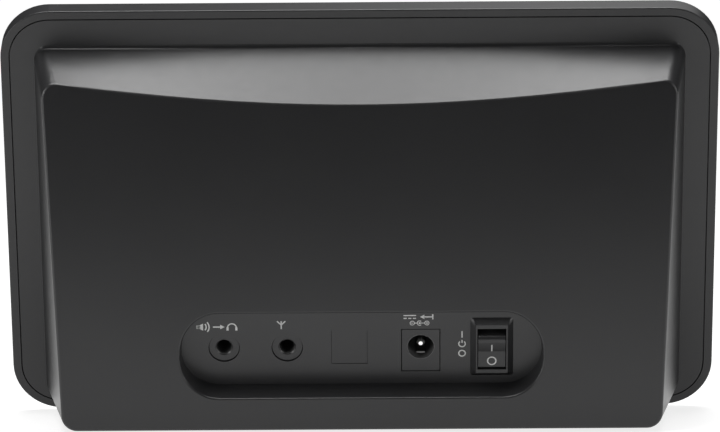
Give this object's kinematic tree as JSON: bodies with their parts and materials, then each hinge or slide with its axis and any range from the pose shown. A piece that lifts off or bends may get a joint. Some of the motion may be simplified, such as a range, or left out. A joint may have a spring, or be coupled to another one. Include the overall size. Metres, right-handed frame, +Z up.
{
  "type": "tabletop radio",
  "caption": "Slim tabletop radio leaning back on a wedge-shaped rear housing, with front speakers, display, push keys, rear jacks and a rocker switch.",
  "frame": {"origin": "centre of the footprint on the table, under the feet", "axes": "+Z up, -Y towards the listener (the display side), +X to the right seen from the front"},
  "size_m": [0.1722, 0.0499, 0.103],
  "materials": {
    "case_plastic": "fine moulded texture, matte dark grey",
    "grille_plastic": "matte, slotted",
    "key_plastic": "satin, with printed signs",
    "window_gloss": "polished smoked window",
    "display_glass": "unlit display glass in a black frame",
    "sheet_steel": "zinc-plated sheet",
    "shield_steel": "tinned shield can",
    "ribbon_film": "polyimide film",
    "board_laminate": "green solder mask",
    "chip_plastic": "moulded chip package",
    "capacitor_aluminium": "bright can",
    "connector_plastic": "natural nylon",
    "jack_plastic": "black nylon",
    "contact_metal": "nickel plate",
    "switch_plastic": "black nylon, fine texture",
    "rocker_plastic": "black nylon with white signs",
    "foot_rubber": "soft rubber",
    "gasket_foam": "closed-cell foam",
    "cone_paper": "coated cone",
    "magnet_ferrite": "ferrite ring in a steel cup"
  },
  "bodies": {
    "case": {"aerial_jack": "jack_plastic", "amplifier": "chip_plastic", "audio_jack": "jack_plastic", "board_connectors": "connector_plastic", "board_screws": "sheet_steel", "capacitors": "capacitor_aluminium", "dc_jack_body": "jack_plastic", "dc_jack_contact": "contact_metal", "dc_jack_pin": "contact_metal", "display_bracket": "sheet_steel", "display_module": "display_glass", "display_ribbon": "ribbon_film", "display_window": "window_gloss", "front_frame": "case_plastic", "front_pad_left": "foot_rubber", "front_pad_right": "foot_rubber", "key_board": "board_laminate", "key_switches": "chip_plastic", "main_board": "board_laminate", "port_blank": "case_plastic", "port_board": "board_laminate", "processor": "chip_plastic", "radio_module": "shield_steel", "rear_cover": "case_plastic", "rear_foot_left": "foot_rubber", "rear_foot_right": "foot_rubber", "speaker_basket_left": "sheet_steel", "speaker_basket_right": "sheet_steel", "speaker_cone_left": "cone_paper", "speaker_cone_right": "cone_paper", "speaker_gasket_left": "gasket_foam", "speaker_gasket_right": "gasket_foam", "speaker_grille_left": "grille_plastic", "speaker_grille_right": "grille_plastic", "speaker_magnet_left": "magnet_ferrite", "speaker_magnet_right": "magnet_ferrite", "speaker_screws": "sheet_steel", "switch_housing": "switch_plastic", "switch_terminals": "contact_metal", "tuner_can": "shield_steel"},
    "rocker": {"switch_rocker": "rocker_plastic"},
    "key_standby_body": {"key_standby": "key_plastic"},
    "key_menu_body": {"key_menu": "key_plastic"},
    "key_back_body": {"key_back": "key_plastic"},
    "key_previous_body": {"key_previous": "key_plastic"},
    "key_select_body": {"key_select": "key_plastic"},
    "key_next_body": {"key_next": "key_plastic"},
    "key_volume_down_body": {"key_volume_down": "key_plastic"},
    "key_volume_up_body": {"key_volume_up": "key_plastic"}
  },
  "joints": [
    {"name": "rocker_tilt", "type": "hinge", "parent": "case", "child": "rocker", "pos_m": [-0.0312, 0.0152, 0.02156], "axis": [1, 0, 0], "range_deg": [0, 20]},
    {"name": "key_standby_press", "type": "slide", "parent": "case", "child": "key_standby_body", "axis": [0, 0.9403, -0.3403], "range_m": [0, 0.0006], "stiffness_N_per_m": 1500},
    {"name": "key_menu_press", "type": "slide", "parent": "case", "child": "key_menu_body", "axis": [0, 0.9403, -0.3403], "range_m": [0, 0.0006], "stiffness_N_per_m": 1500},
    {"name": "key_back_press", "type": "slide", "parent": "case", "child": "key_back_body", "axis": [0, 0.9403, -0.3403], "range_m": [0, 0.0006], "stiffness_N_per_m": 1500},
    {"name": "key_previous_press", "type": "slide", "parent": "case", "child": "key_previous_body", "axis": [0, 0.9403, -0.3403], "range_m": [0, 0.0006], "stiffness_N_per_m": 1500},
    {"name": "key_select_press", "type": "slide", "parent": "case", "child": "key_select_body", "axis": [0, 0.9403, -0.3403], "range_m": [0, 0.0006], "stiffness_N_per_m": 1500},
    {"name": "key_next_press", "type": "slide", "parent": "case", "child": "key_next_body", "axis": [0, 0.9403, -0.3403], "range_m": [0, 0.0006], "stiffness_N_per_m": 1500},
    {"name": "key_volume_down_press", "type": "slide", "parent": "case", "child": "key_volume_down_body", "axis": [0, 0.9403, -0.3403], "range_m": [0, 0.0006], "stiffness_N_per_m": 1500},
    {"name": "key_volume_up_press", "type": "slide", "parent": "case", "child": "key_volume_up_body", "axis": [0, 0.9403, -0.3403], "range_m": [0, 0.0006], "stiffness_N_per_m": 1500}
  ]
}
